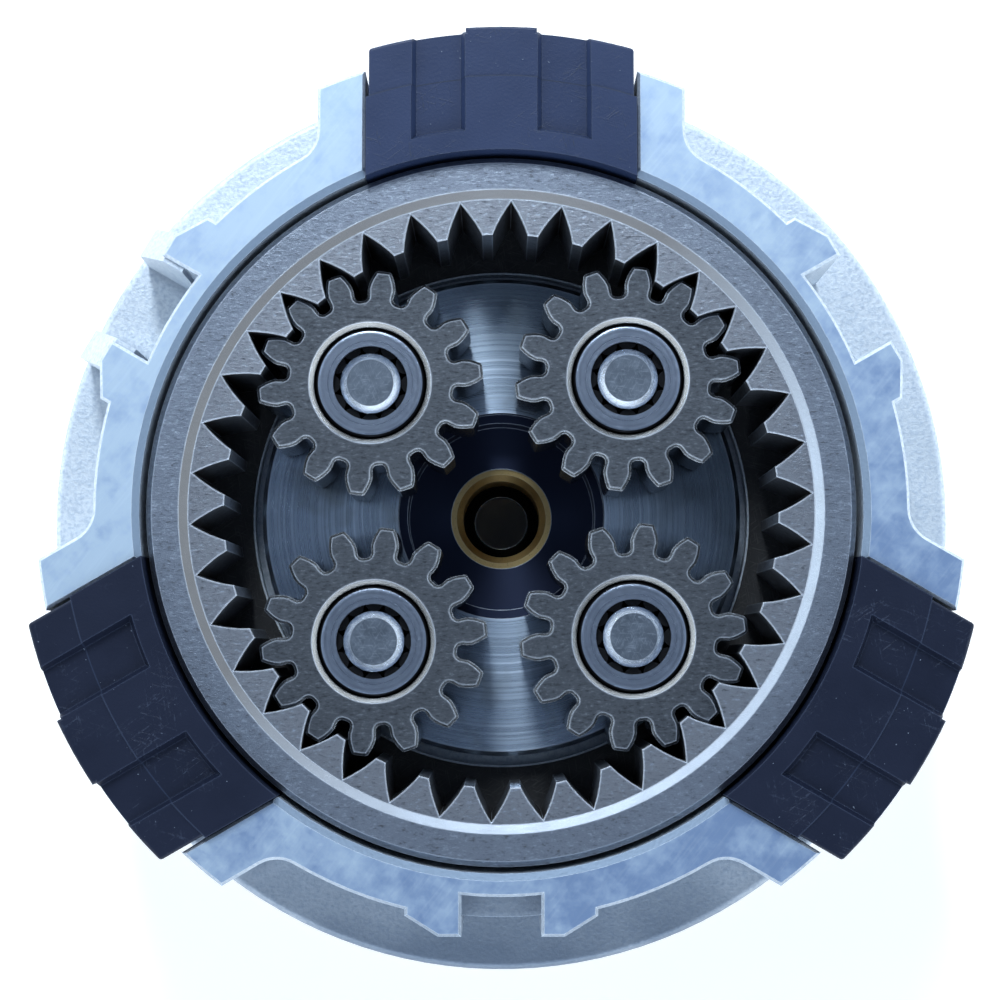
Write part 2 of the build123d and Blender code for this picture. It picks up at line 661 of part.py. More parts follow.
with BuildPart() as garter_spring:
    with BuildSketch(Plane.XZ):
        with Locations((HUB_R + SEAL_STEM_OUTER + GARTER_R, SEAL_TOP_Z - GARTER_DROP)):
            Circle(GARTER_R)
    revolve(axis=Axis.Z)
finish(garter_spring, "seal_garter_spring")


# ======================================================= planets and their pins
def planet_pin(index):
    """One pin, pressed through the carrier's disc."""
    with BuildPart() as pin:
        with BuildSketch(planet_plane(index, CARRIER_BACK_Z)):
            Circle(PIN_R)
        extrude(amount=PLANET_FACE_Z - CARRIER_BACK_Z)
        chamfer(pin.faces().sort_by(Axis.Z)[-1].edges(), PIN_CHAMFER)
    return pin


def planet_gear(index):
    """One planet gear with its bore for the needle cup."""
    centre = planet_plane(index, 0).origin
    with BuildPart() as gear:
        with BuildSketch(planet_plane(index, PLANET_BACK_Z)):
            with BuildLine():
                planet_outline(planet_phase(index))
            make_face()
            Circle(CUP_R, mode=Mode.SUBTRACT)
        extrude(amount=PLANET_WIDTH)

        def radius_of(edge):
            middle = edge.center()
            return hypot(middle.X - centre.X, middle.Y - centre.Y)

        upright = gear.edges().filter_by(Axis.Z)
        fillet(upright.filter_by(lambda e: radius_of(e) > PLANET_TIP_R - NEAR), PLANET_TIP_ROUND)
        upright = gear.edges().filter_by(Axis.Z)
        feet = upright.filter_by(lambda e: abs(radius_of(e) - PLANET_ROOT_R) < NEAR)
        fillet(feet, PLANET_ROOT_ROUND)
        chamfer(gear.edges().filter_by(lambda e: is_circle(e, CUP_R)), GEAR_BORE_CHAMFER)
        faces = gear.faces().filter_by(Axis.Z).sort_by(Axis.Z)
        chamfer(faces[-1].outer_wire().edges() + faces[0].outer_wire().edges(), GEAR_EDGE_BREAK)
    return gear


def needle_cup(index):
    """One drawn cup with a lip at each end, pressed into a planet gear."""
    low, high = PLANET_BACK_Z + CUP_INSET, PLANET_FACE_Z - CUP_INSET
    x, y = polar(CENTRE_DISTANCE, radians(planet_angle(index)))
    axis = Axis((x, y, 0), (0, 0, 1))
    with BuildPart() as cup:
        with BuildSketch(Plane(origin=(x, y, 0), x_dir=(1, 0, 0), z_dir=(0, -1, 0))) as wall:
            with Locations(((CUP_LIP_R + CUP_R) / 2, (low + high) / 2)):
                Rectangle(CUP_R - CUP_LIP_R, high - low)
            fillet(wall.vertices().group_by(Axis.X)[-1], CUP_CORNER_ROUND)
            with Locations(((CUP_LIP_R + CUP_R) / 2 - CUP_WALL, (low + high) / 2)):
                Rectangle(CUP_R - CUP_LIP_R, high - low - 2 * CUP_WALL, mode=Mode.SUBTRACT)
        revolve(axis=axis)
    return cup


def needle_rollers(index):
    """The loose needles between a pin and its cup."""
    middle = (PLANET_BACK_Z + PLANET_FACE_Z) / 2
    with BuildPart() as needles:
        with BuildSketch(planet_plane(index, middle - NEEDLE_LENGTH / 2)):
            with PolarLocations(PIN_R + NEEDLE_CLEARANCE + NEEDLE_R, NEEDLE_COUNT):
                Circle(NEEDLE_R)
        extrude(amount=NEEDLE_LENGTH)
    return needles


for index in range(PLANET_COUNT):
    number = index + 1
    finish(planet_gear(index), f"planet_gear_{number}")
    finish(needle_cup(index), f"needle_cup_{number}")
    finish(needle_rollers(index), f"needle_rollers_{number}")
    finish(planet_pin(index), f"planet_pin_{number}")
    thrust = washer(
        CARRIER_FACE_Z,
        PLANET_WASHER_THICKNESS,
        PIN_R + RUNNING_CLEARANCE,
        PLANET_WASHER_R,
        planet_plane(index, 0),
    )
    finish(thrust, f"planet_washer_{number}")
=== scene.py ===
"""Planetary gear set: studio view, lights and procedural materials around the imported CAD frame."""

from math import cos, pi, radians, sin

import bpy
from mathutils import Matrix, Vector


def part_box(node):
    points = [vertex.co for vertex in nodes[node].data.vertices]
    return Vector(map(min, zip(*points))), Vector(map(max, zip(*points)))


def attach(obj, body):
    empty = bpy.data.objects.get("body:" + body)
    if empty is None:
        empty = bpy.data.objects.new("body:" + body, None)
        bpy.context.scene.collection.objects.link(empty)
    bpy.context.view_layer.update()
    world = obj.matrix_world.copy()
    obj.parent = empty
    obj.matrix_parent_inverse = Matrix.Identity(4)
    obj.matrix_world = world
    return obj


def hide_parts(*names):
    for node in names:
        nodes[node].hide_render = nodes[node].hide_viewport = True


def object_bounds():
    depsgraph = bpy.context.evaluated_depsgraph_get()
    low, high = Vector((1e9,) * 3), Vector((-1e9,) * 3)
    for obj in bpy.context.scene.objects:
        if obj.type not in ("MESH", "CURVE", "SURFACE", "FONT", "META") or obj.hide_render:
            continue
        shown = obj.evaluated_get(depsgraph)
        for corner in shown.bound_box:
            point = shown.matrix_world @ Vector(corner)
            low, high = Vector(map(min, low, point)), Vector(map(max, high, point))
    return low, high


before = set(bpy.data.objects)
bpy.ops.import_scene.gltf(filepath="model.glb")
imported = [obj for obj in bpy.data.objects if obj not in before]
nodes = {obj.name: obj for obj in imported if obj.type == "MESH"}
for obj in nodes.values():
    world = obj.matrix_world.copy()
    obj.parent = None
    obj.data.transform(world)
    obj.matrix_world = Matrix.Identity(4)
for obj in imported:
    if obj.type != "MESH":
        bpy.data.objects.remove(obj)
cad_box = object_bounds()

MM = 0.001
planet_numbers = range(1, 5)

# Places that the materials use, read from the CAD nodes, in metres
collar_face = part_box("housing")[1].z
rim_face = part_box("ring_gear")[1].z
carrier_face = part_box("carrier")[1].z
tooth_face = rim_face - 0.9 * MM

# Where painted zones end, as radii (NOSE_TOP: height) in metres, close to the CAD's own edges
NOSE_TOP = 16.4 * MM
BORE_BREAK_RIM = 38.4 * MM
BEVEL_FOOT, BEVEL_TOP = 32.8 * MM, 33.5 * MM
GEAR_BORE, GEAR_BORE_CHAMFER = 6.0 * MM, 6.42 * MM
SHADE_AND_GREASE_INSIDE = 5.35 * MM
GROOVE_INSIDE = 5.52 * MM  # painted shade: a dark ring between needle cup and gear
PIN_FACE = 2.42 * MM
RECESS, HUB_BORE, PILOT_BORE = 11.3 * MM, 7.0 * MM, 4.3 * MM
PARTING_LINE = 45.3 * MM


# ---------------------------------------------------------------- material kit


def pin_centre(number):
    """Where planet number's pin stands, seen along the gear axis."""
    low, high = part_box(f"planet_pin_{number}")
    return ((low + high) / 2).xy


SOCKETS = {"anisotropic": "Anisotropic", "specular_ior_level": "Specular IOR Level"}


class Surface:
    """A material in the making: each method adds nodes and gives back their output."""

    def __init__(self, name, metallic=1.0, centre=(0.0, 0.0), **constants):
        self.material = bpy.data.materials.new(name)
        self.material.use_nodes = True
        self.tree = self.material.node_tree
        self.shader = self.tree.nodes["Principled BSDF"]
        self.shader.inputs["Metallic"].default_value = metallic
        for socket, value in constants.items():
            self.shader.inputs[SOCKETS[socket]].default_value = value
        self.place = self.add("ShaderNodeTexCoord").outputs["Object"]
        self.about_axis = self.add(
            "ShaderNodeVectorMath", {0: self.place, 1: (*centre, 0.0)}, operation="SUBTRACT"
        ).outputs[0]
        parts = self.add("ShaderNodeSeparateXYZ", {0: self.about_axis}).outputs
        self.x, self.y, self.height = parts["X"], parts["Y"], parts["Z"]
        flat = self.add("ShaderNodeCombineXYZ", {0: self.x, 1: self.y}).outputs[0]
        self.radius = self.add(
            "ShaderNodeVectorMath", {0: flat}, operation="LENGTH"
        ).outputs["Value"]
        self.normal = None

    def add(self, kind, inputs=(), **settings):
        node = self.tree.nodes.new(kind)
        for name, value in settings.items():
            setattr(node, name, value)
        for socket, value in dict(inputs).items():
            if isinstance(value, bpy.types.NodeSocket):
                self.tree.links.new(value, node.inputs[socket])
            else:
                node.inputs[socket].default_value = value
        return node

    def maths(self, operation, first, second=0.0):
        return self.add("ShaderNodeMath", {0: first, 1: second}, operation=operation).outputs[0]

    def noise(self, size, detail=2.0, stretch=(1.0, 1.0, 1.0), vector=None, roughness=0.5):
        """Noise from 0 to 1 whose features are about size metres across."""
        where = self.add(
            "ShaderNodeVectorMath",
            {0: vector or self.place, 1: [s / size for s in stretch]},
            operation="MULTIPLY",
        ).outputs[0]
        return self.add(
            "ShaderNodeTexNoise", {"Vector": where, "Scale": 1.0, "Detail": detail,
                                   "Roughness": roughness}
        ).outputs["Fac"]

    def rings(self, pitch, detail=3.0):
        """Turning marks: noise that changes with the distance from the axis alone."""
        along = self.add(
            "ShaderNodeCombineXYZ", {0: self.radius, 1: self.maths("MULTIPLY", self.height, 0.35)}
        ).outputs[0]
        return self.noise(pitch, detail, vector=along, roughness=0.65)

    def scratches(self, size, turns=(0.3, 1.4, 2.5)):
        """Fine hairlines in several directions."""
        found = None
        for turn in turns:
            turned = self.add(
                "ShaderNodeVectorRotate", {"Vector": self.place, "Angle": turn},
                rotation_type="Z_AXIS",
            ).outputs[0]
            lines = self.noise(size, 3.0, (1.0, 14.0, 1.0), vector=turned)
            lines = self.step(lines, 0.60, 0.68)
            found = lines if found is None else self.maths("MAXIMUM", found, lines)
        return found

    def step(self, value, low, high, start=0.0, end=1.0):
        """Start where value is at most low, end where it is at least high, straight between."""
        return self.add(
            "ShaderNodeMapRange",
            {"Value": value, "From Min": low, "From Max": high, "To Min": start, "To Max": end},
        ).outputs[0]

    def both(self, first, second):
        return self.maths("MULTIPLY", first, second)

    def facing_up(self):
        normal = self.add("ShaderNodeTexCoord").outputs["Normal"]
        upward = self.add("ShaderNodeSeparateXYZ", {0: normal}).outputs["Z"]
        return self.step(upward, 0.90, 0.98)

    def edge_wear_and_highlight(self, width):
        """1 on edges, from the angle between the surface and the same surface rounded off. Materials
        use it for worn edges and for painted edge highlights.
        """
        rounded = self.add("ShaderNodeBevel", {"Radius": width}, samples=4).outputs[0]
        true = self.add("ShaderNodeNewGeometry").outputs["Normal"]
        alike = self.add(
            "ShaderNodeVectorMath", {0: rounded, 1: true}, operation="DOT_PRODUCT"
        ).outputs["Value"]
        return self.step(alike, 0.995, 0.90)

    def shade_and_grime(self, distance):
        """1 in corners and narrow gaps, where materials paint shade and dirt."""
        open_air = self.add(
            "ShaderNodeAmbientOcclusion", {"Distance": distance}, samples=4, only_local=True
        ).outputs["AO"]
        return self.step(open_air, 0.75, 0.35)

    def colours(self, factor, first, second):
        """Colour first where factor is 0, second where it is 1."""
        mixer = self.add("ShaderNodeMix", data_type="RGBA")
        ends = (factor, mixer.inputs[0]), (first, mixer.inputs[6]), (second, mixer.inputs[7])
        for value, socket in ends:
            if isinstance(value, bpy.types.NodeSocket):
                self.tree.links.new(value, socket)
            else:
                socket.default_value = (*value, 1.0)
        return mixer.outputs[2]

    def values(self, factor, first, second):
        """Number first where factor is 0, second where it is 1."""
        mixer = self.add("ShaderNodeMix", {0: factor}, data_type="FLOAT")
        for value, socket in ((first, mixer.inputs[2]), (second, mixer.inputs[3])):
            if isinstance(value, bpy.types.NodeSocket):
                self.tree.links.new(value, socket)
            else:
                socket.default_value = value
        return mixer.outputs[0]

    def relief(self, height, depth):
        """Raises the surface by depth metres where height is 1, on top of earlier relief."""
        bump = self.add("ShaderNodeBump", {"Height": height, "Distance": depth, "Strength": 1.0})
        if self.normal is not None:
            self.tree.links.new(self.normal, bump.inputs["Normal"])
        self.normal = bump.outputs[0]

    def tangents_from_axis(self):
        """Turned metal: highlights stretch outwards, across marks that run round the axis."""
        world = self.add(
            "ShaderNodeVectorTransform", {0: self.about_axis}, vector_type="VECTOR",
            convert_from="OBJECT", convert_to="WORLD",
        ).outputs[0]
        unit = self.add("ShaderNodeVectorMath", {0: world}, operation="NORMALIZE").outputs[0]
        self.tree.links.new(unit, self.shader.inputs["Tangent"])

    def done(self, colour, roughness):
        self.tree.links.new(colour, self.shader.inputs["Base Color"])
        self.tree.links.new(roughness, self.shader.inputs["Roughness"])
        if self.normal is not None:
            self.tree.links.new(self.normal, self.shader.inputs["Normal"])
        return self.material


# ---------------------------------------------------------------- materials


def cast_aluminium():
    """As cast and grainy, with painted shade low on the flange, a milled collar and a turned nose.
    """
    s = Surface("cast_aluminium", metallic=0.85)
    grain = s.noise(0.38 * MM, 4.0)
    blotches = s.noise(9.0 * MM, 3.0)
    # painted shade: the darker milled patches crowd towards the lower right
    lower_right = s.step(s.maths("SUBTRACT", s.x, s.y), -30.0 * MM, 50.0 * MM, -0.14, 0.14)
    patches = s.step(s.maths("ADD", s.noise(3.4 * MM, 6.0, roughness=0.70), lower_right),
                     0.34, 0.70)
    on_collar = s.both(s.step(s.height, collar_face - 0.25 * MM, collar_face - 0.1 * MM),
                       s.facing_up())
    on_nose = s.step(s.height, NOSE_TOP, NOSE_TOP - 0.3 * MM)
    hatch_way = s.add("ShaderNodeVectorRotate", {"Vector": s.place, "Angle": radians(38.0)},
                      rotation_type="Z_AXIS").outputs[0]
    hatch = s.noise(0.30 * MM, 2.0, (1.0, 0.05, 1.0), vector=hatch_way)
    turned = s.rings(0.22 * MM)
    # painted shade: the chamfer round the collar bore is darkened
    bore_break = s.both(s.step(s.height, collar_face - 1.2 * MM, collar_face - 0.9 * MM),
                        s.both(s.step(s.radius, BORE_BREAK_RIM + 0.2 * MM, BORE_BREAK_RIM),
                               s.maths("SUBTRACT", 1.0, s.facing_up())))
    edges = s.edge_wear_and_highlight(0.12 * MM)
    # painted shade: the flange darkens towards -Y, with a blotchy border
    flange_shade = s.step(s.maths("ADD", s.y, s.both(blotches, 14.0 * MM)), -20.0 * MM, -42.0 * MM,
                   0.0, 0.90)

    as_cast = s.colours(blotches, (0.62, 0.68, 0.73), (0.80, 0.84, 0.875))
    as_cast = s.colours(s.step(grain, 0.42, 0.74), as_cast, (0.50, 0.57, 0.65))
    as_cast = s.colours(flange_shade, as_cast, (0.19, 0.235, 0.30))
    milled = s.colours(patches, (0.50, 0.61, 0.71), (0.33, 0.46, 0.69))
    milled = s.colours(s.step(hatch, 0.50, 0.75, 0.0, 0.16), milled, (0.70, 0.80, 0.88))
    machined = s.colours(turned, (0.58, 0.64, 0.71), (0.76, 0.81, 0.87))
    colour = s.colours(on_nose, as_cast, machined)
    colour = s.colours(on_collar, colour, milled)
    colour = s.colours(bore_break, colour, (0.26, 0.33, 0.42))
    # painted shade and dirt: darker in corners and narrow gaps
    colour = s.colours(s.shade_and_grime(3.0 * MM), colour, (0.30, 0.34, 0.40))
    colour = s.colours(edges, colour, (0.70, 0.78, 0.86))

    roughness = s.values(grain, 0.50, 0.66)
    roughness = s.values(on_nose, roughness, s.values(turned, 0.26, 0.42))
    roughness = s.values(on_collar, roughness, s.values(patches, 0.56, 0.42))
    smooth = s.maths("SUBTRACT", 1.0, s.maths("MAXIMUM", on_collar, on_nose))
    s.relief(s.both(grain, smooth), 0.055 * MM)
    s.relief(s.both(hatch, on_collar), 0.004 * MM)
    s.relief(s.both(turned, on_nose), 0.006 * MM)
    return s.done(colour, roughness)


def sintered_steel():
    """Ring gear: pressed and ground, finely pitted; its bevel has a painted highlight low down and
    painted shade high up.
    """
    s = Surface("sintered_steel")
    speckle = s.noise(0.34 * MM, 5.0, (0.45, 1.0, 1.0), roughness=0.75)
    clouds = s.noise(3.2 * MM, 4.0, roughness=0.6)
    pits = s.step(speckle, 0.54, 0.68)
    glints = s.step(speckle, 0.44, 0.34)
    bevel = s.both(s.step(s.radius, BEVEL_FOOT - 0.2 * MM, BEVEL_FOOT),
                   s.step(s.radius, BEVEL_TOP + 0.2 * MM, BEVEL_TOP))
    bevel = s.both(bevel, s.step(s.height, tooth_face, tooth_face + 0.1 * MM))
    low_down = s.step(s.maths("SUBTRACT", s.x, s.y), -12.0 * MM, 26.0 * MM)
    on_rim = s.step(s.height, tooth_face + 0.25 * MM, rim_face - 0.15 * MM)
    edges = s.edge_wear_and_highlight(0.22 * MM)
    colour = s.colours(clouds, (0.235, 0.265, 0.315), (0.325, 0.365, 0.430))
    tooth_faces = s.colours(clouds, (0.27, 0.285, 0.315), (0.36, 0.38, 0.415))
    colour = s.colours(on_rim, tooth_faces, colour)
    colour = s.colours(pits, colour, (0.115, 0.122, 0.138))
    colour = s.colours(glints, colour, (0.50, 0.55, 0.63))
    # painted highlight on the bevel low down, painted shade high up
    bevel_colour = s.colours(low_down, (0.24, 0.235, 0.235), (0.60, 0.66, 0.74))
    colour = s.colours(bevel, colour, bevel_colour)
    # painted shade and dirt: darker in corners and narrow gaps
    colour = s.colours(s.shade_and_grime(2.0 * MM), colour, (0.075, 0.058, 0.046))
    # painted highlight and wear: bright edges
    colour = s.colours(edges, colour, (0.78, 0.84, 0.92))
    roughness = s.values(speckle, 0.30, 0.52)
    s.relief(speckle, 0.040 * MM)
    s.relief(s.scratches(1.6 * MM), 0.003 * MM)
    return s.done(colour, roughness)


def gear_steel(number):
    """Planet gear: satin faces turned about its own pin, run-in flanks, a painted highlight on the
    bore chamfer.
    """
    s = Surface(f"gear_steel_{number}", centre=pin_centre(number))
    grain = s.noise(0.28 * MM, 5.0, (0.40, 1.0, 1.0), roughness=0.75)
    marks = s.rings(0.16 * MM)
    clouds = s.noise(4.5 * MM, 3.0)
    edges = s.edge_wear_and_highlight(0.26 * MM)
    mouth = s.both(s.step(s.radius, GEAR_BORE - 0.1 * MM, GEAR_BORE),
                   s.step(s.radius, GEAR_BORE_CHAMFER + 0.08 * MM, GEAR_BORE_CHAMFER))
    faces = s.facing_up()
    colour = s.colours(clouds, (0.098, 0.108, 0.122), (0.150, 0.163, 0.180))
    colour = s.colours(s.step(grain, 0.52, 0.66), colour, (0.055, 0.060, 0.068))
    # painted glints: light flecks in the grain
    colour = s.colours(s.step(grain, 0.44, 0.34), colour, (0.240, 0.262, 0.290))
    # painted highlight on the bore chamfer
    colour = s.colours(mouth, colour, (0.50, 0.49, 0.47))
    # painted shade and dirt: half darker in corners and narrow gaps
    colour = s.colours(s.both(s.shade_and_grime(1.6 * MM), 0.5), colour, (0.050, 0.048, 0.046))
    # painted highlight and wear: bright edges
    colour = s.colours(edges, colour, (0.82, 0.87, 0.94))
    roughness = s.values(faces, 0.26, s.values(grain, 0.36, 0.54))
    s.relief(grain, 0.026 * MM)
    s.relief(s.both(marks, faces), 0.003 * MM)
    return s.done(colour, roughness)


def turned_steel():
    """Carrier: lathe turned disc and hub; painted shade darkens one side and the recess, and makes
    the bore black.
    """
    s = Surface("turned_steel", anisotropic=0.75)
    s.tangents_from_axis()
    marks = s.rings(0.34 * MM, 5.0)
    fine = s.rings(0.09 * MM)
    wide = s.rings(2.6 * MM, 2.0)
    stains = s.noise(7.0 * MM, 3.0)
    inside = s.both(s.step(s.radius, RECESS + 0.15 * MM, RECESS),
                    s.step(s.height, carrier_face - 0.05 * MM, carrier_face - 0.15 * MM))
    through = s.step(s.radius, HUB_BORE + 0.2 * MM, HUB_BORE)
    inside = s.maths("MAXIMUM", s.both(inside, s.step(s.height, 11.0 * MM, 12.0 * MM)), through)
    colour = s.colours(wide, (0.42, 0.51, 0.60), (0.60, 0.73, 0.90))
    colour = s.colours(s.step(marks, 0.48, 0.70), colour, (0.74, 0.86, 1.0))
    colour = s.colours(s.step(stains, 0.52, 0.75), colour, (0.30, 0.34, 0.36))
    # painted shade: darker towards the top and right, with a blotchy border
    side_shade = s.maths("ADD", s.maths("ADD", s.x, s.y), s.both(stains, 6.0 * MM))
    side_shade = s.step(side_shade, 12.0 * MM, 27.0 * MM, 0.0, 0.80)
    colour = s.colours(side_shade, colour, (0.100, 0.130, 0.160))
    # painted shade: near black in the recess and hub bore, black in the pilot bore
    colour = s.colours(inside, colour, (0.022, 0.028, 0.052))
    colour = s.colours(s.step(s.radius, PILOT_BORE + 0.2 * MM, PILOT_BORE), colour,
                       (0.002, 0.002, 0.002))
    colour = s.colours(s.edge_wear_and_highlight(0.12 * MM), colour, (0.70, 0.76, 0.84))
    roughness = s.values(inside, s.values(marks, 0.20, 0.36), 0.42)
    s.relief(marks, 0.008 * MM)
    s.relief(fine, 0.002 * MM)
    return s.done(colour, roughness)


def cup_steel(number):
    """Needle bearing shell: drawn strip, half bright, with painted shade and grease inside and
    painted shade round its edge.
    """
    s = Surface(f"cup_steel_{number}", centre=pin_centre(number))
    draw = s.rings(0.14 * MM)
    clouds = s.noise(2.4 * MM, 3.0)
    colour = s.colours(clouds, (0.36, 0.42, 0.52), (0.54, 0.61, 0.72))
    colour = s.colours(s.step(draw, 0.55, 0.75), colour, (0.56, 0.63, 0.73))
    # painted shade and dirt: darker in corners and narrow gaps
    colour = s.colours(s.shade_and_grime(0.8 * MM), colour, (0.10, 0.075, 0.05))
    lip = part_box(f"needle_cup_{number}")[1].z - 0.5 * MM
    # painted shade and grease inside, painted shade in the ring round the edge
    shade_and_grease = s.both(s.step(s.radius, SHADE_AND_GREASE_INSIDE + 0.1 * MM, SHADE_AND_GREASE_INSIDE),
                     s.step(s.height, lip, lip - 0.1 * MM))
    groove = s.both(s.step(s.radius, GROOVE_INSIDE - 0.1 * MM, GROOVE_INSIDE),
                    s.step(s.radius, GEAR_BORE + 0.1 * MM, GEAR_BORE))
    colour = s.colours(s.maths("MAXIMUM", shade_and_grease, groove), colour, (0.006, 0.006, 0.007))
    roughness = s.values(draw, 0.20, 0.38)
    s.relief(draw, 0.004 * MM)
    s.relief(s.scratches(0.9 * MM), 0.003 * MM)
    return s.done(colour, roughness)


def pin_steel(number):
    """Planet pin: dull ground end with hairline scratches and a painted highlight on its turned
    chamfer.
    """
    s = Surface(f"pin_steel_{number}", centre=pin_centre(number))
    scuffs = s.scratches(1.1 * MM, (0.2 + number, 1.1 + number, 2.3 + number))
    clouds = s.noise(1.5 * MM, 4.0)
    on_end = s.step(s.radius, PIN_FACE + 0.08 * MM, PIN_FACE)
    face = s.colours(clouds, (0.135, 0.162, 0.195), (0.205, 0.240, 0.285))
    face = s.colours(s.both(scuffs, 0.5), face, (0.30, 0.34, 0.39))
    # painted highlight on the chamfer round the end
    colour = s.colours(on_end, (0.80, 0.86, 0.94), face)
    roughness = s.values(on_end, 0.22, s.values(clouds, 0.36, 0.52))
    s.relief(scuffs, 0.006 * MM)
    s.relief(s.rings(0.12 * MM), 0.003 * MM)
    return s.done(colour, roughness)


def washer_steel():
    """Hardened strip, dull, lightly scratched."""
    s = Surface("washer_steel")
    grain = s.noise(0.22 * MM, 3.0)
    rubbed = s.rings(0.25 * MM)
    colour = s.colours(s.noise(5.0 * MM, 3.0), (0.26, 0.27, 0.29), (0.40, 0.41, 0.44))
    colour = s.colours(s.step(rubbed, 0.58, 0.75), colour, (0.55, 0.57, 0.61))
    s.relief(grain, 0.006 * MM)
    s.relief(rubbed, 0.004 * MM)
    return s.done(colour, s.values(grain, 0.32, 0.48))


def roller_steel():
    """Ground needles painted near black, as dark grease and painted shade, which hides their ends.
    """
    s = Surface("roller_steel", metallic=0.0, specular_ior_level=0.08)
    lines = s.noise(0.10 * MM, 2.0, (1.0, 1.0, 0.05))
    # painted shade and grease: near black needles
    colour = s.colours(lines, (0.005, 0.005, 0.006), (0.012, 0.012, 0.013))
    s.relief(lines, 0.002 * MM)
    return s.done(colour, s.values(lines, 0.45, 0.60))


def spring_steel():
    """Snap ring: black phosphate with a fine crystalline bite, rubbed through on its edges."""
    s = Surface("spring_steel", metallic=0.4)
    grain = s.noise(0.12 * MM, 4.0, roughness=0.7)
    colour = s.colours(grain, (0.045, 0.046, 0.050), (0.12, 0.12, 0.13))
    colour = s.colours(s.edge_wear_and_highlight(0.15 * MM), colour, (0.42, 0.43, 0.45))
    s.relief(grain, 0.012 * MM)
    return s.done(colour, s.values(grain, 0.45, 0.68))


def bronze():
    """Sintered bronze: warm, porous, darkened by oil in its pores."""
    s = Surface("bronze")
    grain = s.noise(0.17 * MM, 4.0, roughness=0.7)
    pores = s.step(grain, 0.58, 0.70)
    colour = s.colours(s.noise(3.0 * MM, 3.0), (0.62, 0.42, 0.16), (0.84, 0.62, 0.28))
    colour = s.colours(pores, colour, (0.28, 0.17, 0.06))
    colour = s.colours(s.edge_wear_and_highlight(0.12 * MM), colour, (0.95, 0.80, 0.50))
    s.relief(grain, 0.010 * MM)
    return s.done(colour, s.values(grain, 0.26, 0.46))


def damper_rubber():
    """Moulded rubber, navy black, with painted sheen making the top block bluer, a parting line,
    scuffs and pale specks.
    """
    s = Surface("damper_rubber", metallic=0.0, specular_ior_level=0.32)
    skin = s.noise(0.30 * MM, 4.0)
    bloom = s.noise(8.0 * MM, 4.0, roughness=0.6)
    specks = s.step(s.noise(0.30 * MM, 1.0), 0.785, 0.81)
    scuffs = s.both(s.scratches(3.2 * MM), s.step(s.noise(6.0 * MM), 0.50, 0.62))
    parting = s.maths("ABSOLUTE", s.maths("SUBTRACT", s.radius, PARTING_LINE))
    parting = s.step(parting, 0.10 * MM, 0.03 * MM)
    # painted sheen: the top block is lighter and bluer
    top_sheen = s.step(s.y, 0.0, 38.0 * MM)
    colour = s.colours(bloom, (0.0036, 0.0062, 0.0170), (0.0072, 0.0118, 0.0310))
    sheen_colour = s.colours(bloom, (0.016, 0.027, 0.066), (0.026, 0.042, 0.100))
    colour = s.colours(top_sheen, colour, sheen_colour)
    colour = s.colours(s.both(scuffs, s.step(skin, 0.45, 0.60)), colour, (0.030, 0.040, 0.068))
    colour = s.colours(parting, colour, (0.018, 0.027, 0.054))
    colour = s.colours(s.edge_wear_and_highlight(0.22 * MM), colour, (0.036, 0.048, 0.082))
    colour = s.colours(specks, colour, (0.16, 0.19, 0.24))
    roughness = s.values(bloom, 0.38, 0.52)
    s.relief(skin, 0.020 * MM)
    s.relief(scuffs, 0.010 * MM)
    return s.done(colour, roughness)


def seal_rubber():
    """Lip seal: black nitrile, slightly dusty."""
    s = Surface("seal_rubber", metallic=0.0)
    skin = s.noise(0.25 * MM, 4.0)
    colour = s.colours(s.noise(4.0 * MM, 3.0), (0.012, 0.012, 0.013), (0.040, 0.040, 0.042))
    s.relief(skin, 0.014 * MM)
    return s.done(colour, s.values(skin, 0.46, 0.66))


def black_fibre():
    """Seat washer: oiled fibre with short strands in every direction."""
    s = Surface("black_fibre", metallic=0.0)
    strands = s.scratches(1.8 * MM)
    colour = s.colours(strands, (0.010, 0.010, 0.011), (0.035, 0.034, 0.033))
    s.relief(strands, 0.012 * MM)
    return s.done(colour, s.values(s.noise(1.2 * MM, 3.0), 0.50, 0.74))


def pale_floor():
    """Pale and matt; the little glow round the object stands in for light from below."""
    s = Surface("pale_floor", metallic=0.0)
    glow = s.step(s.radius, 24.0 * MM, 44.0 * MM, 0.0, 0.30)
    s.tree.links.new(glow, s.shader.inputs["Emission Strength"])
    colour = s.colours(s.noise(60.0 * MM, 3.0), (0.96, 0.92, 0.87), (0.98, 0.94, 0.89))
    return s.done(colour, s.values(s.noise(1.5 * MM, 2.0), 0.60, 0.72))


def dress(material, *names):
    """Puts the material on CAD nodes, in place of the plain one they were packed with."""
    for name in names:
        slots = nodes[name].data.materials
        for index in range(len(slots)):
            slots[index] = material
        if not slots:
            slots.append(material)


steel_washer = washer_steel()
metal_bronze = bronze()
dress(cast_aluminium(), "housing")
dress(sintered_steel(), "ring_gear")
dress(turned_steel(), "carrier")
dress(damper_rubber(), *(f"damper_block_{i}" for i in range(1, 4)))
dress(black_fibre(), "ring_seat_washer")
dress(seal_rubber(), "output_seal")
dress(spring_steel(), "hub_snap_ring")
dress(metal_bronze, "nose_bush", "pilot_bush")
dress(roller_steel(), *(f"needle_rollers_{i}" for i in planet_numbers))
dress(steel_washer, "carrier_thrust_washer", "hub_thrust_washer", "seal_garter_spring",
      *(f"planet_washer_{i}" for i in planet_numbers))
for i in planet_numbers:
    dress(gear_steel(i), f"planet_gear_{i}")
    dress(cup_steel(i), f"needle_cup_{i}")
    dress(pin_steel(i), f"planet_pin_{i}")


# ---------------------------------------------------------------- garter spring

WIRE_SIDES = 8
STEPS_PER_TURN = 14
WIRE_RADIUS = 0.13 * MM


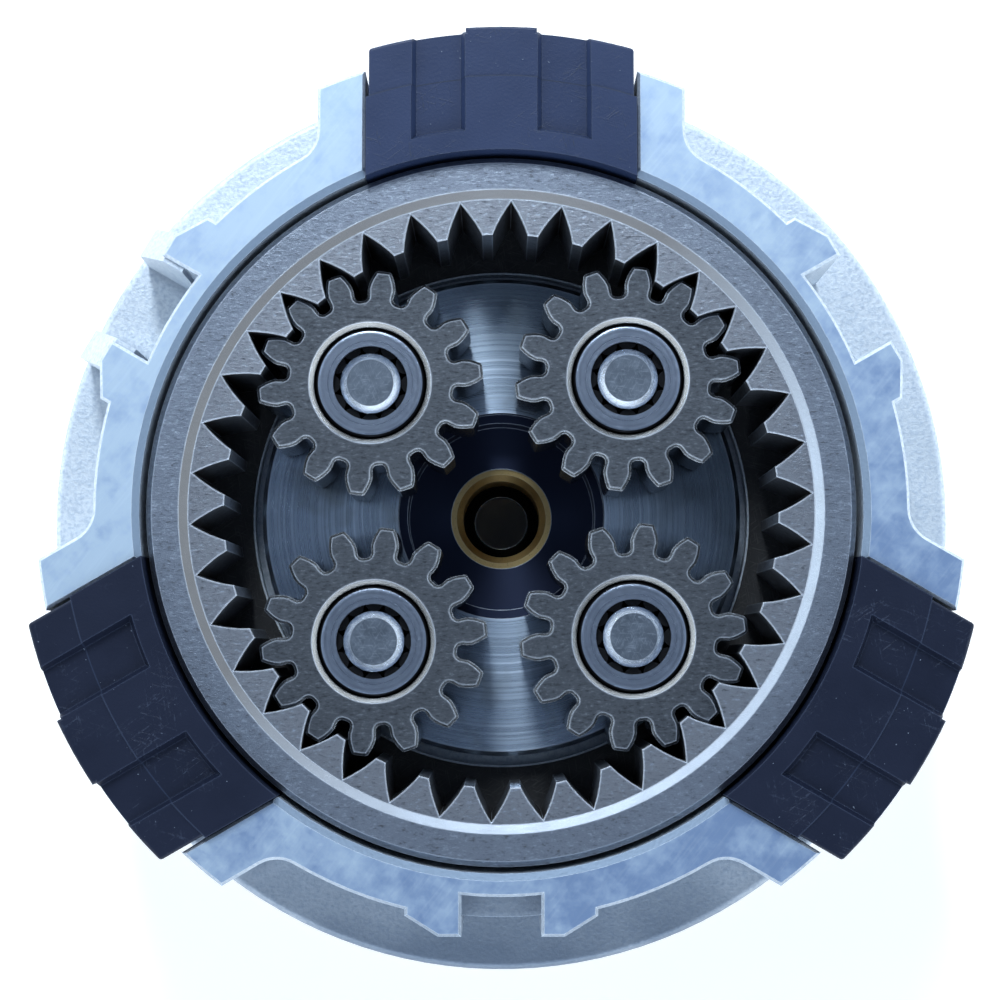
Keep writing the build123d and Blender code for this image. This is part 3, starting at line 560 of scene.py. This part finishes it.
def coiled_garter(name, node):
    """A closed coil spring that fills the CAD node's plain ring."""
    low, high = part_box(node)
    coil_radius = (high.z - low.z) / 2 - WIRE_RADIUS
    ring_radius = high.x - (high.z - low.z) / 2
    middle = (low.z + high.z) / 2
    turns = int(2 * pi * ring_radius / (2.15 * WIRE_RADIUS))
    count = turns * STEPS_PER_TURN

    def centreline(step):
        along, twist = 2 * pi * step / count, 2 * pi * step / STEPS_PER_TURN
        reach = ring_radius + coil_radius * cos(twist)
        return Vector((reach * cos(along), reach * sin(along), middle + coil_radius * sin(twist)))

    points = []
    for step in range(count):
        here = centreline(step)
        ahead = (centreline(step + 1) - centreline(step - 1)).normalized()
        along = 2 * pi * step / count
        outward = here - Vector((ring_radius * cos(along), ring_radius * sin(along), middle))
        outward = (outward - ahead * outward.dot(ahead)).normalized()
        across = ahead.cross(outward)
        for side in range(WIRE_SIDES):
            turn = 2 * pi * side / WIRE_SIDES
            points.append(here + WIRE_RADIUS * (outward * cos(turn) + across * sin(turn)))
    faces = [
        [
            step * WIRE_SIDES + side,
            step * WIRE_SIDES + (side + 1) % WIRE_SIDES,
            (step + 1) % count * WIRE_SIDES + (side + 1) % WIRE_SIDES,
            (step + 1) % count * WIRE_SIDES + side,
        ]
        for step in range(count)
        for side in range(WIRE_SIDES)
    ]
    mesh = bpy.data.meshes.new(name)
    mesh.from_pydata(points, [], faces)
    mesh.shade_smooth()
    mesh.materials.append(steel_washer)
    coil = bpy.data.objects.new(name, mesh)
    bpy.context.scene.collection.objects.link(coil)
    return coil


garter = coiled_garter("garter_coil", "seal_garter_spring")
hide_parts("seal_garter_spring")
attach(garter, "housing")


# ---------------------------------------------------------------- studio

FLOOR_SIZE = 4.0
TILT = radians(4.2)  # of the camera from the gear axis, towards -Y
DISTANCE = 220.0 * MM  # from the tooth faces
LENS = 75.9
AIM = Vector((-0.14 * MM, 0.9 * MM, tooth_face))

floor_mesh = bpy.data.meshes.new("studio_floor")
half = FLOOR_SIZE / 2
floor_z = cad_box[0].z - 0.02 * MM
floor_mesh.from_pydata(
    [(x, y, floor_z) for x, y in ((-half, -half), (half, -half), (half, half), (-half, half))],
    [],
    [(0, 1, 2, 3)],
)
floor_mesh.materials.append(pale_floor())
floor = bpy.data.objects.new("studio_floor", floor_mesh)
bpy.context.scene.collection.objects.link(floor)

back = Vector((0.0, -sin(TILT), cos(TILT)))
camera = bpy.data.objects.new("camera", bpy.data.cameras.new("camera"))
camera.data.lens = LENS
camera.data.clip_start = 0.01
camera.location = AIM + DISTANCE * back
camera.rotation_mode = "QUATERNION"
camera.rotation_quaternion = (-back).to_track_quat("-Z", "Y")
bpy.context.scene.collection.objects.link(camera)
bpy.context.scene.camera = camera


def softbox(name, place, size, power, colour):
    """A rectangular lamp aimed at the gears."""
    data = bpy.data.lights.new(name, "AREA")
    data.shape = "RECTANGLE"
    data.size, data.size_y = size
    data.energy = power
    data.color = colour
    lamp = bpy.data.objects.new(name, data)
    lamp.location = place
    lamp.rotation_mode = "QUATERNION"
    lamp.rotation_quaternion = (AIM - Vector(place)).to_track_quat("-Z", "Y")
    bpy.context.scene.collection.objects.link(lamp)


softbox("key", (-0.10, 0.62, 0.66), (0.15, 0.26), 5.0, (0.80, 0.90, 1.0))
softbox("fill_front", (0.0, -0.80, 0.60), (0.17, 0.34), 1.5, (0.70, 0.84, 1.0))
softbox("fill_left", (-0.85, 0.10, 0.55), (0.30, 0.60), 0.6, (0.80, 0.95, 0.98))
softbox("fill_right", (0.85, -0.05, 0.50), (0.30, 0.60), 0.5, (0.74, 0.92, 0.98))

world = bpy.data.worlds.new("studio_air")
bpy.context.scene.world = world
world.use_nodes = True
air = world.node_tree
way = air.nodes.new("ShaderNodeSeparateXYZ")
air.links.new(air.nodes.new("ShaderNodeTexCoord").outputs["Generated"], way.inputs[0])
sky = air.nodes.new("ShaderNodeValToRGB")
air.links.new(way.outputs["Z"], sky.inputs["Fac"])
stops = sky.color_ramp.elements
stops[0].position, stops[0].color = 0.30, (0.80, 0.90, 1.0, 1.0)
stops[1].position, stops[1].color = 0.985, (0.030, 0.040, 0.060, 1.0)
middle_stop = stops.new(0.74)
middle_stop.color = (0.36, 0.45, 0.60, 1.0)
air.links.new(sky.outputs["Color"], air.nodes["Background"].inputs["Color"])
air.nodes["Background"].inputs["Strength"].default_value = 1.60
bpy.context.scene.view_settings.view_transform = "Standard"
